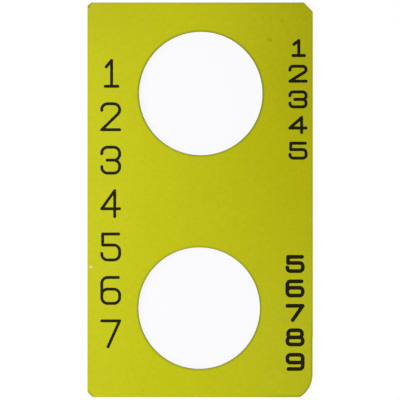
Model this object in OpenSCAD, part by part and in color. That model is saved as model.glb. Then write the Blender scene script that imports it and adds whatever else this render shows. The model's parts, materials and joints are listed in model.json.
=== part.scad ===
// Legend plate for two push-buttons, cut and engraved from three-ply engraving laminate.
// It lies on its back: +X is to the right and +Y to the top as it is read, +Z is out of the face.
// The origin is on the back, under the middle of the outline. Sizes are in millimetres.

/* [Plate] */
// Width of the plate
plate_w = 57.1; // [53:0.1:76]
// Height of the plate
plate_h = 100; // [95:0.5:130]

/* [Plies] */
// Thickness of the coloured face ply
face_t = 0.2; // [0.1:0.05:0.35]
// Thickness of the black core ply
core_t = 1.2; // [0.7:0.1:3.2]
// Thickness of the coloured back ply
back_t = 0.2; // [0.1:0.05:0.5]

/* [Button holes] */
// Diameter of the upper hole
upper_hole_d = 31.3; // [22:0.1:34]
// Diameter of the lower hole
lower_hole_d = 30.8; // [22:0.1:34]
// How far the upper hole is above the middle of the plate
upper_hole_up = 26.95; // [20:0.05:29]
// How far the lower hole is below the middle of the plate
lower_hole_down = 27.45; // [20:0.05:29]
// How far the upper hole is to the right of the middle
upper_hole_right = 0.15; // [-1:0.05:1]
// How far the lower hole is to the left of the middle
lower_hole_left = 0.25; // [-1:0.05:1]
// How far the eased edge of a hole runs on into the core
hole_ease_in = 0.3; // [0.1:0.05:0.5]
// Lean of a hole's eased edge from upright, in degrees
hole_ease_lean = 10; // [5:1:45]

/* [Trimmed corners] */
// Length cut off the top edge at the top left corner
top_left_x = 0.9; // [0.5:0.05:5]
// Length cut off the left edge at the top left corner
top_left_y = 0.85; // [0.5:0.05:5]
// Lean of the cut at the top left corner, in degrees
top_left_lean = 7; // [0:1:20]
// Length cut off the top edge at the top right corner
top_right_x = 2.3; // [0.5:0.05:5]
// Length cut off the right edge at the top right corner
top_right_y = 2.35; // [0.5:0.05:5]
// Lean of the cut at the top right corner, in degrees
top_right_lean = 0; // [0:1:20]
// Length cut off each edge at the bottom left corner
bottom_left = 1.25; // [0.5:0.05:5]
// Lean of the cut at the bottom left corner, in degrees
bottom_left_lean = 4; // [0:1:20]
// Radius of the rounded bottom right corner
bottom_right_r = 6.6; // [3:0.05:12]
// How far that corner's circle would reach below the bottom edge
bottom_right_below = 0.9; // [0.4:0.1:2]
// How far in from the right edge that corner's cut is
bottom_right_in = 0.06; // [0.02:0.02:0.5]
// How far the cut runs on up the right edge from where the rounding ends
bottom_right_run = 9.4; // [2:0.1:14]
// Lean of the rounded corner's cut, in degrees
bottom_right_lean = 8; // [0:1:15]

/* [Engraving] */
// How far the grooves run on into the core
groove_in = 0.15; // [0.05:0.05:0.4]
// Angle of a groove's flanks from upright, in degrees
flank = 8; // [0:1:25]
// Width of the tall numerals
tall_w = 5.3; // [3.5:0.1:5.8]
// Height of the tall numerals
tall_h = 7.35; // [5:0.05:9]
// Width of the tall numerals' grooves at the face
tall_groove = 0.78; // [0.4:0.02:1]
// Step from one tall numeral to the next
tall_pitch = 11; // [9.5:0.1:12.5]
// How far the tall column's centre line is from the left edge
tall_in = 5.9; // [5:0.1:6.4]
// How far the tall column hangs below the middle of the plate
tall_drop = 0.95; // [-2:0.05:2]
// Width of the small numerals
small_w = 4.9; // [3.5:0.1:5.4]
// Height of the small numerals
small_h = 4.6; // [3.5:0.1:5.8]
// Width of the upper small numerals' grooves at the face
upper_groove = 0.82; // [0.4:0.02:1]
// Step from one upper small numeral to the next
upper_pitch = 6.5; // [6:0.1:7.5]
// How far the upper column's centre line is from the right edge
upper_in = 3.75; // [3.6:0.05:5]
// How far the upper column hangs below the centre of its hole
upper_drop = 1.5; // [-2:0.1:2]
// Width of the lower small numerals' grooves at the face
lower_groove = 1; // [0.4:0.02:1.1]
// Step from one lower small numeral to the next
lower_pitch = 6.2; // [6:0.1:7.5]
// How far the lower column's centre line is from the right edge
lower_in = 4.5; // [3.6:0.1:6]
// How far the lower column hangs below the centre of its hole
lower_drop = 1.2; // [-2:0.1:2]

/* [Hidden] */
$fn = 96;

tall_digits = [1, 2, 3, 4, 5, 6, 7];
upper_digits = [1, 2, 3, 4, 5];
lower_digits = [5, 6, 7, 8, 9];

// Radius of a numeral's bends, as a share of half its height
bend_share = 0.45;
// How much further out a groove reaches where the cutter dwells
dwell = 0.01;
// How far every cutter runs past the surface that it starts from
over = 1;

// The plies, from the back up
core_z = back_t;
face_z = core_z + core_t;
top_z = face_z + face_t;

left_x = -plate_w / 2;
right_x = plate_w / 2;
top_y = plate_h / 2;
bottom_y = -plate_h / 2;

hole_ease = face_t + hole_ease_in;
upper_hole = [upper_hole_right, upper_hole_up];
lower_hole = [-lower_hole_left, -lower_hole_down];

groove_depth = face_t + groove_in;

// A hole straight through, with its edge at the face eased by a taper that runs into the core
module button_hole(at, d) {
    cut = hole_ease + over;
    translate([at.x, at.y, -over])
        cylinder(h = top_z + 2 * over, d = d);
    translate([at.x, at.y, top_z - hole_ease])
        cylinder(h = cut, r1 = d / 2, r2 = d / 2 + cut * tan(hole_ease_lean));
}

// A straight cut off a corner, along the line between two points of the outline at the back.
// It takes off what lies to the left of the way from one to the other, and leans in as it rises.
module corner_cut(from, to, lean) {
    run = to - from;
    reach = norm(run) + 2 * over;
    translate([from.x, from.y, 0])
        rotate([0, 0, atan2(run.y, run.x)])
            rotate([lean, 0, 0])
                translate([-over, 0, -over])
                    cube([reach, reach, top_z + 2 * over]);
}

// The rounded corner. It leans up the plate as it rises, and runs on up the right edge as a
// shallow flat.
module round_cut() {
    reach = bottom_right_r + over;
    depth = top_z + over + reach * sin(bottom_right_lean);
    translate([right_x - bottom_right_in - bottom_right_r,
               bottom_y + bottom_right_r - bottom_right_below, 0]) {
        rotate([-bottom_right_lean, 0, 0])
            difference() {
                translate([0, -reach, -depth])
                    cube([reach, reach, 2 * depth]);
                translate([0, 0, -2 * depth])
                    cylinder(h = 4 * depth, r = bottom_right_r);
            }
        translate([bottom_right_r, -over, -over])
            cube([over, bottom_right_run + over, top_z + 2 * over]);
    }
}

module corner_cuts() {
    corner_cut([left_x, top_y - top_left_y], [left_x + top_left_x, top_y], top_left_lean);
    corner_cut([right_x - top_right_x, top_y], [right_x, top_y - top_right_y], top_right_lean);
    corner_cut([left_x + bottom_left, bottom_y], [left_x, bottom_y + bottom_left], bottom_left_lean);
    round_cut();
}

// Half of a groove's width, at a height over its floor
function half_width(groove, height) = groove / 2 - (groove_depth - height) * tan(flank);

// A groove's cross-section, from its floor to well over the face
module groove_section(groove) {
    foot = half_width(groove, 0);
    mouth = half_width(groove, groove_depth + over);
    polygon([[-foot, 0], [foot, 0], [mouth, groove_depth + over], [-mouth, groove_depth + over]]);
}

// The round end of a groove, where the cutter goes in or turns sharply and dwells for a moment
module groove_end(at, groove) {
    translate([at.x, at.y, 0])
        cylinder(h = groove_depth + over, r1 = half_width(groove, 0) + dwell,
                 r2 = half_width(groove, groove_depth + over) + dwell);
}

module straight_groove(from, to, groove) {
    run = to - from;
    translate([from.x, from.y, 0])
        rotate([90, 0, 90 + atan2(run.y, run.x)])
            linear_extrude(norm(run))
                groove_section(groove);
}

function unit(v) = v / norm(v);
function heading(v) = atan2(v.y, v.x);
// Angle from one direction to the next, positive to the left
function turn(u, v) = atan2(u.x * v.y - u.y * v.x, u * v);
// How far from a corner its bend begins
function bend_start(u, v, r) = r * tan(abs(turn(u, v)) / 2);

// A bend of radius r round a corner, from one direction to the next
module bent_groove(corner, u, v, r, groove) {
    swing = turn(u, v);
    side = sign(swing);
    centre = corner - unit(u) * bend_start(u, v, r) + side * r * [-unit(u).y, unit(u).x];
    translate([centre.x, centre.y, 0])
        rotate([0, 0, heading(u) - 90 * side + min(swing, 0)])
            rotate_extrude(angle = abs(swing))
                translate([r, 0])
                    groove_section(groove);
}

// A groove through a list of points, with every corner sharp
module sharp_path(points, groove) {
    for (i = [1 : len(points) - 1])
        straight_groove(points[i - 1], points[i], groove);
    for (p = points)
        groove_end(p, groove);
}

// A groove through a list of points, with every corner bent. A closed one goes back to its first
// point, and a joined one ends on another groove, so it needs no round end there.
module bent_path(points, r, groove, closed = false, joined = false) {
    n = len(points);
    leg = [for (i = [0 : n - 1]) points[(i + 1) % n] - points[i]];
    trim = [for (i = [0 : n - 1])
        closed || (i > 0 && i < n - 1) ? bend_start(leg[(i + n - 1) % n], leg[i], r) : 0];
    for (i = [0 : closed ? n - 1 : n - 2])
        straight_groove(points[i] + unit(leg[i]) * trim[i],
                        points[i] + leg[i] - unit(leg[i]) * trim[(i + 1) % n], groove);
    for (i = [0 : n - 1])
        if (trim[i] > 0)
            bent_groove(points[i], leg[(i + n - 1) % n], leg[i], r, groove);
    if (!closed)
        groove_end(points[0], groove);
    if (!closed && !joined)
        groove_end(points[n - 1], groove);
}

// One numeral round the origin. Its points are in half widths and half heights of the box that
// its centre line fills.
module numeral(digit, w, h, groove) {
    half = [(w - groove) / 2, (h - groove) / 2];
    r = bend_share * min(half.y, 2 * half.x);
    function fit(points) = [for (p = points) [p.x * half.x, p.y * half.y]];
    if (digit == 1) {
        sharp_path(fit([[-0.5, 0.5], [0.1, 1], [0.1, -1]]), groove);
        sharp_path(fit([[-0.6, -1], [0.8, -1]]), groove);
    }
    if (digit == 2) {
        bent_path(fit([[-1, 0.5], [-1, 1], [1, 1], [1, 0.5]]), r, groove, joined = true);
        sharp_path(fit([[1, 0.5], [0.94, 0.34], [0.785, 0.19], [-1, -1], [1, -1]]), groove);
    }
    if (digit == 3) {
        bent_path(fit([[-1, 0.5], [-1, 1], [1, 1], [1, 0], [-0.4, 0]]), r, groove);
        bent_path(fit([[-1, -0.5], [-1, -1], [1, -1], [1, 0], [0, 0]]), r, groove, joined = true);
    }
    if (digit == 4)
        sharp_path(fit([[0.45, -1], [0.45, 1], [-1, -0.4], [1, -0.4]]), groove);
    if (digit == 5) {
        sharp_path(fit([[0.9, 1], [-0.9, 1], [-0.9, 0.15]]), groove);
        bent_path(fit([[-1, -0.5], [-1, -1], [1, -1], [1, 0.15], [-0.9, 0.15]]), r, groove,
                  joined = true);
    }
    if (digit == 6) {
        bent_path(fit([[0.85, 1], [-1, 1], [-1, -0.45]]), r, groove, joined = true);
        bent_path(fit([[-1, -1], [1, -1], [1, 0.1], [-1, 0.1]]), r, groove, closed = true);
    }
    if (digit == 7)
        sharp_path(fit([[-1, 1], [1, 1], [-0.3, -1]]), groove);
    if (digit == 8) {
        bent_path(fit([[-0.9, 0], [0.9, 0], [0.9, 1], [-0.9, 1]]), r, groove, closed = true);
        bent_path(fit([[-1, -1], [1, -1], [1, 0], [-1, 0]]), r, groove, closed = true);
    }
    if (digit == 9) {
        bent_path(fit([[-0.85, -1], [1, -1], [1, 0.45]]), r, groove, joined = true);
        bent_path(fit([[1, 1], [-1, 1], [-1, -0.1], [1, -0.1]]), r, groove, closed = true);
    }
}

// A column of numerals that reads downwards, with its middle at a point of the face
module column(digits, middle, pitch, w, h, groove) {
    first = (len(digits) - 1) / 2;
    for (i = [0 : len(digits) - 1])
        translate([middle.x, middle.y + (first - i) * pitch, top_z - groove_depth])
            numeral(digits[i], w, h, groove);
}

module engraving() {
    column(tall_digits, [left_x + tall_in, -tall_drop], tall_pitch, tall_w, tall_h, tall_groove);
    column(upper_digits, [right_x - upper_in, upper_hole.y - upper_drop], upper_pitch,
           small_w, small_h, upper_groove);
    column(lower_digits, [right_x - lower_in, lower_hole.y - lower_drop], lower_pitch,
           small_w, small_h, lower_groove);
}

// One ply of the laminate, from height z up, cut to the plate's outline and holes
module ply(z, thickness) {
    difference() {
        translate([left_x, bottom_y, z])
            cube([plate_w, plate_h, thickness]);
        button_hole(upper_hole, upper_hole_d);
        button_hole(lower_hole, lower_hole_d);
        corner_cuts();
    }
}

module face_ply() {
    color("#bdbf18")
        difference() {
            ply(face_z, face_t);
            engraving();
        }
}

module core_ply() {
    color("#1c1a16")
        difference() {
            ply(core_z, core_t);
            engraving();
        }
}

module back_ply() {
    color("#bdbf18")
        ply(0, back_t);
}

face_ply();
core_ply();
back_ply();
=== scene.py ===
"""The push-button legend plate, dressed: an olive yellow face, a black core that shows in the
engraved numerals and along every cut edge, and a plainer back. It lies face up on a pale floor."""

import json
import math

import bpy
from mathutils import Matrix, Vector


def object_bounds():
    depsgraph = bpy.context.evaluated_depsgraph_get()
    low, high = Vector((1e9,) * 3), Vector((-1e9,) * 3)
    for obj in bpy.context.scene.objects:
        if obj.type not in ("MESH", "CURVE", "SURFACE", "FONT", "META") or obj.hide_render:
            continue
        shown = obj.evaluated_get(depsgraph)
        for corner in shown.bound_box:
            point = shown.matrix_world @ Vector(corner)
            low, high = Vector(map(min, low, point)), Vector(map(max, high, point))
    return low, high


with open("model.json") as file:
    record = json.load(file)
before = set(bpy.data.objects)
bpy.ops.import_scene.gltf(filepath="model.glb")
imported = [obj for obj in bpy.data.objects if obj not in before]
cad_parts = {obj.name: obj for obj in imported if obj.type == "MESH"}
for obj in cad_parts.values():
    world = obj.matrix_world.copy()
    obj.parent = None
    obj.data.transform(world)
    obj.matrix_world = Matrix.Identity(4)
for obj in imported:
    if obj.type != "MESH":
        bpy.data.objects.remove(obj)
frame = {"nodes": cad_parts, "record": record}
cad_low, cad_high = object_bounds()

MM = 0.001
WHITE = (1.0, 1.0, 1.0)

# The camera looks straight down. FRAME_SPAN is what the square picture takes in at the face.
CAMERA_ABOVE_FACE = 1.5
FRAME_SPAN = 0.10132
CAMERA_X, CAMERA_Y = -0.037 * MM, -0.044 * MM
CAMERA_CLIP = (0.01, 10.0)
SENSOR = 36.0

# The lamps: where each stands, the side of its square and its watts
KEY_LAMP = ((-0.120, 0.012, 0.160), 0.10, 0.345)
FILL_LAMP = ((0.006, -0.110, 0.105), 0.06, 0.04)

# A ramp is given as its two ends and the value at each.

# The world's light by the height of its direction: pale at the sides and dim overhead
WORLD_LIGHT = (0.05, 0.6, 0.90, 0.12)

# The floor. Near the plate it scatters some light, so that a shadow shows, and glows with the
# rest. FLOOR_PLAIN is how plain a white it is, by the distance from the middle, and HOLE_SHARE
# how much of the dimmer, bluer glow under the holes it has, which is painted shade in the holes,
# by that from a hole's centre as a share of the radius.
FLOOR_HALF = 1.5
FLOOR_GAP = 0.05 * MM
FLOOR_SCATTER = (0.07, 0.07, 0.07)
FLOOR_GLOW = (0.95, 0.95, 0.95)
# The glow under the holes: painted shade in the holes
HOLE_SHADE_GLOW = (0.895, 0.895, 0.912)
HOLE_SHARE = (0.98, 1.02, 1.0, 0.0)
FLOOR_PLAIN = (0.08, 0.2, 0.0, 1.0)

# Linear colours of the laminate
FACE_YELLOW = (0.512, 0.518, 0.0005)
FADED_YELLOW = (0.509, 0.518, 0.0038)
BACK_YELLOW = (0.485, 0.492, 0.004)
SAWN_YELLOW = (0.440, 0.445, 0.012)
SCUFFED_YELLOW = (0.62, 0.62, 0.10)
BLOOM_TINT = (0.2, 0.2, 1.0)
DARKENING_TINT = (0.56, 0.64, 0.4)
CORE_BLACK = (0.0092, 0.0092, 0.0003)
SAWN_BLACK = (0.026, 0.024, 0.020)

# Gloss of the laminate. Each roughness is a ramp by a noise, and more is added on cut edges.
IOR = 1.5
FACE_SPECULAR, CORE_SPECULAR, BACK_SPECULAR = 0.09, 0.05, 0.12
SHEET_ROUGHNESS, CORE_ROUGHNESS = (0.2, 0.8, 0.44, 0.54), (0.2, 0.8, 0.50, 0.62)
SHEET_SAWN_ROUGHER, CORE_SAWN_ROUGHER = 0.20, 0.12

# Noises of the sheets' skin: the size of their features in mm, their detail and roughness
CLOUDS = (9.0, 2.0, 0.5)
GRIME = (3.0, 3.0, 0.6)
BLOTCHES = (1.7, 3.0, 0.65)
SWELLS = (1.3, 1.0, 0.5)
BLOOM = (1.1, 4.0, 0.75)
MOTTLE = (0.9, 3.0, 0.6)
RAGGED = (0.25, 2.0, 0.6)
GRAIN = (0.24, 2.0, 0.7)
STROKES = (0.18, 1.0, 0.5)
SATIN = (0.07, 2.0, 0.6)

# Noises of the cutters' work: rings round the holes' walls, scores up the saw cuts, and chatter
# on the grooves' floors. The paces are how fast the first two change upwards, against sideways.
RINGS, RING_PACE = (1.8, 3.0, 0.65), 30.0
SCORES, SCORE_PACE = (0.16, 3.0, 0.6), 0.05
CHATTER = (0.12, 3.0, 0.6)

# Depths of the bumps that those noises make
FACE_GRAIN_DEPTH, BACK_GRAIN_DEPTH = 0.005 * MM, 0.009 * MM
SWELL_DEPTH = 0.006 * MM
CHATTER_DEPTH = 0.008 * MM
SHEET_CUT_DEPTH, CORE_CUT_DEPTH = 0.014 * MM, 0.018 * MM

# How far the clouds, the mottle and the grain lighten and darken the yellow. The blotches do it as
# BLOTCHY says, by the distance from where the face is most blotchy.
CLOUD_SHADE, MOTTLE_SHADE, GRAIN_SHADE = 0.009, 0.032, 0.032
BLOTCHY_AT, BLOTCHY = (20 * MM, 42 * MM), (5 * MM, 30 * MM, 0.026, 0.008)

# How faded the yellow is, by x. How strong its bloom is, by the bloom's noise, and how much is
# taken from that noise, by the distance from where the bloom is worn off.
FADED = (-29 * MM, -8 * MM, 1.0, 0.0)
BLOOMING = (0.36, 0.64, 0.0, 0.0072)
WORN_AT, WORN = (28 * MM, 19 * MM), (4 * MM, 34 * MM, 0.085, 0.0)

# How much of the yellow grime hides, by the distance from a hole, and where, by the grime's noise
GRIMY, GRIMY_WHERE = (0.0, 0.45 * MM, 0.20, 0.0), (0.35, 0.7, 0.0, 1.0)

# Scuffs are thin strokes that run two ways. Each way has a turn, and a shift that gives it other
# strokes. SCUFF_PACE is how fast their noise changes along them, against across. There are strokes
# and scuffed patches where their noises say, and a scuff shows in the colour and the gloss.
SCUFF_WAYS = [(0.5, 3.1), (2.2, 7.7)]
SCUFF_PACE = 0.03
STROKE_WHERE, SCUFFED_WHERE = (0.70, 0.78, 0.0, 1.0), (0.5, 0.72, 0.0, 1.0)
SCUFF_SHARE, SCUFF_ROUGHER = 0.10, 0.12

# Marks on the face: x, y and reach in mm, colour, and how much of the yellow each hides. The wide
# russet and olive ones are painted shade, along the right and at the top corners, and the wide pale
# yellow ones are painted light, at the top middle and upper left. The wide dusty one is a dingier
# patch, and the small ones are specks.
PALE = (0.73, 0.60, 0.33)
OLIVE = (0.16, 0.16, 0.0)
BROWN = (0.20, 0.13, 0.03)
# The next two colours are those of painted shade and of painted light.
SHADE_RUSSET = (0.20, 0.0, 0.02)
PAINTED_LIGHT_YELLOW = (0.90, 0.90, 0.02)
DUSTY = (0.50, 0.50, 0.10)
MARKS_AND_PAINTED_SHADING = [
    # The first six are wide patches of painted shade and painted light, spread over the face.
    (31.0, 10.0, 48.0, SHADE_RUSSET, 0.034),
    (28.5, 45.0, 28.0, SHADE_RUSSET, 0.045),
    (-28.5, 50.0, 16.0, SHADE_RUSSET, 0.045),
    (3.0, 45.0, 24.0, PAINTED_LIGHT_YELLOW, 0.078),
    (-15.0, 29.0, 28.0, PAINTED_LIGHT_YELLOW, 0.032),
    (29.0, 26.0, 14.0, OLIVE, 0.045),
    (22.0, -34.0, 26.0, DUSTY, 0.045),
    (-27.70, -17.00, 0.55, PALE, 0.95),
    (-28.25, 49.00, 0.60, BROWN, 0.50),
    (17.75, 40.40, 0.56, OLIVE, 0.40),
    (17.45, 40.75, 0.90, OLIVE, 0.12),
    (16.75, 40.42, 0.36, OLIVE, 0.18),
    (15.95, 46.10, 0.42, OLIVE, 0.22),
    (17.95, 46.45, 0.40, OLIVE, 0.14),
    (17.95, 45.50, 0.42, OLIVE, 0.12),
    (20.80, 45.35, 0.90, OLIVE, 0.11),
]
# A mark is whole out to this share of its reach, and its outline is ragged by so much.
MARK_WHOLE = 0.15
RAGGED_BY = 0.55 * MM

# The outline's trimmed corners: side, end, and the lengths in mm cut off along x and along y. The
# fourth corner is an arc whose circle would reach a little below the bottom edge. Its cut starts a
# little in from the right edge, and runs on up that edge.
TRIMS = [(-1, 1, 0.9, 0.85), (1, 1, 2.3, 2.35), (-1, -1, 1.25, 1.25)]
ROUND_RADIUS, ROUND_BELOW = 6.6 * MM, 0.9 * MM
ROUND_IN, ROUND_RUN = 0.06 * MM, 9.4 * MM

# Where the file bruised the face beside the cut corners: x and y in mm, how far from there the
# bruise is whole and where it ends, and its share
FILED = [
    (28.5, -44.0, 9.3, 18.0, 0.70),
    (-27.95, -49.35, 0.8, 1.45, 0.70),
    (-28.1, 49.5, 0.6, 1.15, 0.35),
]

# How much darker and greener the face is beside the holes, by the distance from one, and by x and
# y: it is most at their sides and at the upper one
DARKER_BESIDE_HOLES = (0.25 * MM, 0.62 * MM, 1.0, 0.0)
DARKER_ACROSS = (5 * MM, 15 * MM, 0.70, 1.0)
DARKER_UP = (-10 * MM, 10 * MM, 0.78, 0.93)

# Bands inside the outline, as the distances from it where each begins, is whole, is whole no more
# and ends: a faint line all round, stronger towards the right by LINE_ACROSS, and the file's bruise
LINE_BAND = (0.12 * MM, 0.28 * MM, 0.30 * MM, 0.52 * MM)
LINE_ACROSS = (-20 * MM, 25 * MM, 0.14, 0.38)
FILED_BAND = (0.06 * MM, 0.16 * MM, 0.30 * MM, 0.62 * MM)

# What is a cut edge, by how upright the surface's normal is, and what is in a hole, by the distance
# from its wall
CUT = (0.55, 0.9, 1.0, 0.0)
IN_BORE = (0.4 * MM, 0.8 * MM, 1.0, 0.0)

# Each hole's centre and radius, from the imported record
BORES = [(m["pos_m"], m["dims"]["r_mm"] * MM)
         for m in frame["record"]["mounts"] if m["kind"] == "bore"]


class Graph:
    """A material's or world's node tree, with one short call for each kind of node."""

    def __init__(self, owner):
        owner.use_nodes = True
        self.tree = owner.node_tree
        self.tree.nodes.clear()

    def node(self, kind, inputs=None, **settings):
        made = self.tree.nodes.new(kind)
        for name, value in settings.items():
            setattr(made, name, value)
        for name, value in (inputs or {}).items():
            self.put(made.inputs[name], value)
        return made

    def put(self, socket, value):
        if isinstance(value, bpy.types.NodeSocket):
            self.tree.links.new(value, socket)
        elif isinstance(value, tuple):
            socket.default_value = (*value, 1.0)[:len(socket.default_value)]
        else:
            socket.default_value = value

    def math(self, operation, *values):
        """An operation on one or two values, or on more of them in turn."""
        if len(values) > 2:
            values = (self.math(operation, *values[:-1]), values[-1])
        return self.node("ShaderNodeMath", dict(enumerate(values)), operation=operation).outputs[0]

    def ramp(self, value, low, high, to_low, to_high):
        """value carried from low..high to to_low..to_high, eased and held at both ends."""
        inputs = {"Value": value, "From Min": low, "From Max": high,
                  "To Min": to_low, "To Max": to_high}
        return self.node("ShaderNodeMapRange", inputs, interpolation_type="SMOOTHSTEP").outputs[0]

    def swing(self, noise, spread, depth):
        """A noise carried from spread either side of its middle to depth either side of nothing."""
        return self.ramp(noise, 0.5 - spread, 0.5 + spread, -depth, depth)

    def band(self, value, begin, whole, whole_no_more, end):
        """value carried to 1 inside a band and to 0 outside it."""
        return self.math("MULTIPLY", self.ramp(value, begin, whole, 0.0, 1.0),
                         self.ramp(value, whole_no_more, end, 1.0, 0.0))

    def mix(self, share, a, b, blend="MIX"):
        inputs = {0: share, 6: a, 7: b}
        return self.node("ShaderNodeMix", inputs, data_type="RGBA", blend_type=blend).outputs[2]

    def grey(self, value, tint=WHITE):
        """value as a grey, or as so much of tint."""
        channels = {i: self.math("MULTIPLY", value, part) for i, part in enumerate(tint)}
        return self.node("ShaderNodeCombineColor", channels).outputs[0]

    def varied(self, colour, noise, low, high, gain):
        """A colour that goes up to gain times itself where a noise goes from low to high."""
        brighter = tuple(gain * part for part in colour)
        return self.mix(self.ramp(noise, low, high, 0.0, 1.0), colour, brighter)

    def scaled(self, vector, x, y, z):
        inputs = {0: vector, 1: (x, y, z)}
        return self.node("ShaderNodeVectorMath", inputs, operation="MULTIPLY").outputs[0]

    def noise(self, vector, texture):
        """One of the noises named above, about 0.5."""
        size, detail, roughness = texture
        inputs = {"Vector": vector, "Scale": 1 / (size * MM), "Detail": detail,
                  "Roughness": roughness}
        return self.node("ShaderNodeTexNoise", inputs).outputs[0]

    def split(self, vector):
        return self.node("ShaderNodeSeparateXYZ", {0: vector}).outputs[:3]

    def bump(self, height, depth, strength, normal=None):
        inputs = {"Height": height, "Distance": depth, "Strength": strength}
        if normal is not None:
            inputs["Normal"] = normal
        return self.node("ShaderNodeBump", inputs).outputs[0]

    def seen_ray(self):
        """1 for camera, gloss and glass rays."""
        path = self.node("ShaderNodeLightPath").outputs
        return self.math("MAXIMUM", path["Is Camera Ray"], path["Is Glossy Ray"],
                         path["Is Transmission Ray"])


class Material(Graph):
    """A new material, and where its points are."""

    def __init__(self, name):
        self.data = bpy.data.materials.new(name)
        super().__init__(self.data)
        self.place = self.node("ShaderNodeTexCoord").outputs["Object"]
        self.x, self.y, _ = self.split(self.place)

    def length(self, dx, dy):
        """The length of a level vector."""
        return self.math("SQRT", self.math("ADD", self.math("MULTIPLY", dx, dx),
                                           self.math("MULTIPLY", dy, dy)))

    def distance(self, at):
        """How far a point is from the upright axis through at."""
        return self.length(self.math("SUBTRACT", self.x, at[0]),
                           self.math("SUBTRACT", self.y, at[1]))

    def finished(self, shader):
        """The material, with a shader as its surface."""
        self.node("ShaderNodeOutputMaterial", {"Surface": shader.outputs[0]})
        return self.data


class Laminate(Material):
    """A material of the plate, which knows its cut edges, its holes and the cutters' marks."""

    def __init__(self, name):
        super().__init__(name)
        upright = self.split(self.node("ShaderNodeNewGeometry").outputs["Normal"])[2]
        # 1 on a cut edge and 0 on the flat of a sheet
        self.cut = self.ramp(self.math("ABSOLUTE", upright), *CUT)
        self.bore_gap = self.from_bores()
        self.tool_marks = self.rings_and_scores()

    def from_bores(self):
        """How far a point is from the nearer hole's wall."""
        return self.math("MINIMUM", *[
            self.math("ABSOLUTE", self.math("SUBTRACT", self.distance(centre), radius))
            for centre, radius in BORES])

    def from_outline(self):
        """How far a point is inside the outline."""
        edges = [self.math("SUBTRACT", cad_high.x, self.math("ABSOLUTE", self.x)),
                 self.math("SUBTRACT", cad_high.y, self.math("ABSOLUTE", self.y))]
        trims = [self.from_trim(*trim) for trim in TRIMS]
        return self.math("MINIMUM", *edges, *trims, self.from_round())

    def from_trim(self, side, end, cut_x, cut_y):
        """How far a point is inside the line of a trimmed corner."""
        slant = math.hypot(cut_x, cut_y)
        share_x, share_y = cut_y / slant, cut_x / slant
        reach = cad_high.x * share_x + cad_high.y * share_y - cut_x * MM * share_x
        outward = self.math("ADD", self.math("MULTIPLY", self.x, side * share_x),
                            self.math("MULTIPLY", self.y, end * share_y))
        return self.math("SUBTRACT", reach, outward)

    def from_round(self):
        """How far a point is inside the rounded corner's cut."""
        centre_x = cad_high.x - ROUND_IN - ROUND_RADIUS
        centre_y = cad_low.y + ROUND_RADIUS - ROUND_BELOW
        right = self.math("MAXIMUM", self.math("SUBTRACT", self.x, centre_x), 0.0)
        down = self.math("MAXIMUM", self.math("SUBTRACT", centre_y, self.y), 0.0)
        inside = self.math("SUBTRACT", ROUND_RADIUS, self.length(right, down))
        past_run = self.math("GREATER_THAN", self.y, centre_y + ROUND_RUN)
        return self.math("ADD", inside, self.math("MULTIPLY", ROUND_IN, past_run))

    def rings_and_scores(self):
        """The cutters' marks: rings on the holes' walls and upright scores on the saw cuts."""
        rings = self.noise(self.scaled(self.place, 1.0, 1.0, RING_PACE), RINGS)
        scores = self.noise(self.scaled(self.place, 1.0, 1.0, SCORE_PACE), SCORES)
        in_bore = self.ramp(self.bore_gap, *IN_BORE)
        out_of_bore = self.math("SUBTRACT", 1.0, in_bore)
        return self.math("ADD", self.math("MULTIPLY", rings, in_bore),
                         self.math("MULTIPLY", scores, out_of_bore))

    def shader(self, colour, roughness, skin, cut_depth, cut_strength, specular):
        """The surface, with the cutters' marks on its cut edges. What is the same all over is set
        on the shader's own sockets."""
        scored = self.math("MULTIPLY", self.tool_marks, self.cut)
        normal = self.bump(scored, cut_depth, cut_strength, skin)
        inputs = {"Base Color": colour, "Roughness": roughness, "Normal": normal,
                  "Specular IOR Level": specular, "IOR": IOR}
        return self.finished(self.node("ShaderNodeBsdfPrincipled", inputs))


def bloomed(g, yellow, faded):
    """The yellow, faded a little towards the left edge, with soft blue-grey bloom that comes and
    goes and is worn off at one place."""
    colour = g.mix(g.ramp(g.x, *FADED), yellow, faded)
    worn = g.ramp(g.distance(WORN_AT), *WORN)
    bloom = g.ramp(g.math("SUBTRACT", g.noise(g.place, BLOOM), worn), *BLOOMING)
    return g.mix(1.0, colour, g.grey(bloom, BLOOM_TINT), "ADD")


def shaded(g, colour, mottle, grain):
    """A colour lightened and darkened by clouds, mottle, grain and blotches."""
    blotchy = g.ramp(g.distance(BLOTCHY_AT), *BLOTCHY)
    shade = g.math("ADD", 1.0, g.swing(g.noise(g.place, CLOUDS), 0.2, CLOUD_SHADE),
                   g.swing(mottle, 0.25, MOTTLE_SHADE), g.swing(grain, 0.3, GRAIN_SHADE),
                   g.math("MULTIPLY", blotchy, g.swing(g.noise(g.place, BLOTCHES), 0.22, 1.0)))
    return g.mix(1.0, colour, g.grey(shade), "MULTIPLY")


def grimy(g, colour):
    """A colour with a little grime round the holes."""
    grime = g.math("MULTIPLY", g.ramp(g.bore_gap, *GRIMY),
                   g.ramp(g.noise(g.place, GRIME), *GRIMY_WHERE))
    return g.mix(grime, colour, OLIVE)


def scuffs(g):
    """How scuffed the face is by handling, in thin strokes that run two ways."""
    strokes = []
    for turn, shift in SCUFF_WAYS:
        inputs = {"Vector": g.place, "Rotation": (0.0, 0.0, turn), "Location": (shift, shift, 0.0)}
        turned = g.node("ShaderNodeMapping", inputs).outputs[0]
        drawn_out = g.scaled(turned, 1.0, SCUFF_PACE, 1.0)
        strokes.append(g.ramp(g.noise(drawn_out, STROKES), *STROKE_WHERE))
    return g.math("MULTIPLY", g.math("MAXIMUM", *strokes),
                  g.ramp(g.noise(g.place, CLOUDS), *SCUFFED_WHERE))


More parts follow.
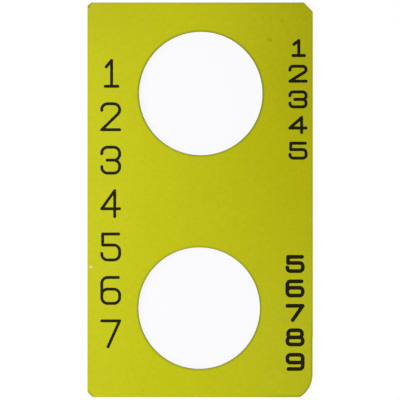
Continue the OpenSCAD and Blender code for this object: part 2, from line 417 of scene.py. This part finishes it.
def with_marks_and_painted_shading(g, colour, marks):
    """A colour with stray marks on it, and with wide patches of painted shade and painted light.
    The small ones have ragged outlines.
    """
    ragged = g.math("MULTIPLY", g.math("SUBTRACT", g.noise(g.place, RAGGED), 0.5), RAGGED_BY)
    for x, y, radius, tint, share in marks:
        reach = g.math("ADD", g.distance((x * MM, y * MM)), ragged)
        hidden = g.ramp(reach, MARK_WHOLE * radius * MM, radius * MM, share, 0.0)
        colour = g.mix(hidden, colour, tint)
    return colour


def edge_darkening(g):
    """How much darker and greener the yellow is: beside the holes, in a faint line just inside the
    outline, and more beside the corners that were filed."""
    beside_holes = g.math("MULTIPLY", g.ramp(g.bore_gap, *DARKER_BESIDE_HOLES),
                          g.ramp(g.math("ABSOLUTE", g.x), *DARKER_ACROSS),
                          g.ramp(g.y, *DARKER_UP))
    outline_gap = g.from_outline()
    line = g.math("MULTIPLY", g.band(outline_gap, *LINE_BAND), g.ramp(g.x, *LINE_ACROSS))
    near_file = g.math("ADD", *[
        g.ramp(g.distance((x * MM, y * MM)), whole * MM, end * MM, share, 0.0)
        for x, y, whole, end, share in FILED])
    filed = g.math("MULTIPLY", g.band(outline_gap, *FILED_BAND), near_file)
    return g.math("MAXIMUM", beside_holes, line, filed)


def sheet_material(name, yellow, faded, marks, grain_depth, specular):
    """A laminate's yellow sheet: soft clouding, fine grain, handling scuffs, and sawn edges."""
    g = Laminate(name)
    mottle, grain = g.noise(g.place, MOTTLE), g.noise(g.place, GRAIN)
    scuff = scuffs(g)

    colour = grimy(g, shaded(g, bloomed(g, yellow, faded), mottle, grain))
    colour = g.mix(g.math("MULTIPLY", scuff, SCUFF_SHARE), colour, SCUFFED_YELLOW)
    # Specks, and wide patches of painted shade and painted light on the face
    colour = with_marks_and_painted_shading(g, colour, marks)
    colour = g.mix(g.cut, colour, g.varied(SAWN_YELLOW, g.tool_marks, 0.3, 0.7, 1.18))
    # Darker and greener beside the holes, along the outline and at the filed corners
    colour = g.mix(1.0, colour, g.mix(edge_darkening(g), WHITE, DARKENING_TINT), "MULTIPLY")

    roughness = g.math("ADD", g.ramp(mottle, *SHEET_ROUGHNESS),
                       g.math("MULTIPLY", scuff, SCUFF_ROUGHER),
                       g.math("MULTIPLY", g.cut, SHEET_SAWN_ROUGHER))
    skin = g.bump(g.noise(g.place, SATIN), 0.6 * grain_depth, 0.6)
    skin = g.bump(grain, grain_depth, 0.5, skin)
    skin = g.bump(g.noise(g.place, SWELLS), SWELL_DEPTH, 0.5, skin)
    return g.shader(colour, roughness, skin, SHEET_CUT_DEPTH, 0.8, specular)


def core_material(name):
    """The laminate's black core: burnished groove floors and paler, scored sawn edges."""
    g = Laminate(name)
    chatter = g.noise(g.place, CHATTER)
    colour = g.mix(g.cut, g.varied(CORE_BLACK, chatter, 0.3, 0.7, 1.7),
                   g.varied(SAWN_BLACK, g.tool_marks, 0.3, 0.72, 1.9))
    roughness = g.math("ADD", g.ramp(chatter, *CORE_ROUGHNESS),
                       g.math("MULTIPLY", g.cut, CORE_SAWN_ROUGHER))
    skin = g.bump(chatter, CHATTER_DEPTH, 0.6)
    return g.shader(colour, roughness, skin, CORE_CUT_DEPTH, 0.9, CORE_SPECULAR)


def dress(node, material):
    """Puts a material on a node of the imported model."""
    piece = frame["nodes"][node]
    piece.data.materials.clear()
    piece.data.materials.append(material)


def floor_material():
    """White with the plate's soft shadow on it, and painted shade under the holes, to the camera,
    gloss and glass. It lets all other light through, and is open seen from below."""
    g = Material("floor_white")
    # Painted shade in the holes: there the floor glows dimmer and bluer
    shade_under_holes = g.math("MAXIMUM", *[
        g.ramp(g.math("DIVIDE", g.distance(centre), radius), *HOLE_SHARE)
        for centre, radius in BORES])
    scatter = g.node("ShaderNodeBsdfDiffuse", {"Color": FLOOR_SCATTER})
    glow = g.node("ShaderNodeEmission", {"Color": g.mix(shade_under_holes, FLOOR_GLOW, HOLE_SHADE_GLOW)})
    near = g.node("ShaderNodeAddShader", {0: scatter.outputs[0], 1: glow.outputs[0]})
    plain = g.node("ShaderNodeEmission", {"Color": WHITE})
    far = g.ramp(g.distance((0.0, 0.0)), *FLOOR_PLAIN)
    lit = g.node("ShaderNodeMixShader", {0: far, 1: near.outputs[0], 2: plain.outputs[0]})
    from_below = g.node("ShaderNodeNewGeometry").outputs["Backfacing"]
    seen = g.math("MULTIPLY", g.seen_ray(), g.math("SUBTRACT", 1.0, from_below))
    open_air = g.node("ShaderNodeBsdfTransparent")
    inputs = {0: seen, 1: open_air.outputs[0], 2: lit.outputs[0]}
    return g.finished(g.node("ShaderNodeMixShader", inputs))


def make_floor():
    """A pale floor just under the plate."""
    mesh = bpy.data.meshes.new("floor")
    corners = [(x * FLOOR_HALF, y * FLOOR_HALF, 0.0)
               for x, y in ((-1, -1), (1, -1), (1, 1), (-1, 1))]
    mesh.from_pydata(corners, [], [(0, 1, 2, 3)])
    mesh.materials.append(floor_material())
    floor = bpy.data.objects.new("floor", mesh)
    floor.location = (0.0, 0.0, -FLOOR_GAP)
    bpy.context.scene.collection.objects.link(floor)


def make_world():
    """White to the eye. As a light, it is pale round the sides and below and dim overhead."""
    world = bpy.data.worlds.new("studio")
    bpy.context.scene.world = world
    g = Graph(world)
    height = g.split(g.node("ShaderNodeTexCoord").outputs["Generated"])[2]
    level = g.ramp(height, *WORLD_LIGHT)
    strength = g.math("MAXIMUM", level, g.seen_ray())
    back = g.node("ShaderNodeBackground", {"Color": WHITE, "Strength": strength})
    g.node("ShaderNodeOutputWorld", {"Surface": back.outputs[0]})


def make_lamp(name, position, size, watts):
    """A soft square lamp aimed at the middle of the plate."""
    data = bpy.data.lights.new(name, "AREA")
    data.shape, data.size, data.energy = "SQUARE", size, watts
    lamp = bpy.data.objects.new(name, data)
    lamp.location = position
    lamp.rotation_mode = "QUATERNION"
    lamp.rotation_quaternion = lamp.location.to_track_quat("Z", "Y")
    lamp.visible_camera = False
    bpy.context.scene.collection.objects.link(lamp)


def make_camera():
    """Straight above the plate, with the photograph's frame."""
    data = bpy.data.cameras.new("camera")
    data.sensor_width = SENSOR
    data.lens = SENSOR * CAMERA_ABOVE_FACE / FRAME_SPAN
    data.clip_start, data.clip_end = CAMERA_CLIP
    camera = bpy.data.objects.new("camera", data)
    camera.location = (CAMERA_X, CAMERA_Y, cad_high.z + CAMERA_ABOVE_FACE)
    bpy.context.scene.collection.objects.link(camera)
    bpy.context.scene.camera = camera


make_camera()
make_world()
make_lamp("key", *KEY_LAMP)
make_lamp("fill", *FILL_LAMP)
make_floor()

dress("face_ply", sheet_material("face_laminate", FACE_YELLOW, FADED_YELLOW, MARKS_AND_PAINTED_SHADING,
                                 FACE_GRAIN_DEPTH, FACE_SPECULAR))
dress("core_ply", core_material("core_laminate"))
dress("back_ply", sheet_material("back_laminate", BACK_YELLOW, BACK_YELLOW, [],
                                 BACK_GRAIN_DEPTH, BACK_SPECULAR))

bpy.context.scene.view_settings.view_transform = "Standard"
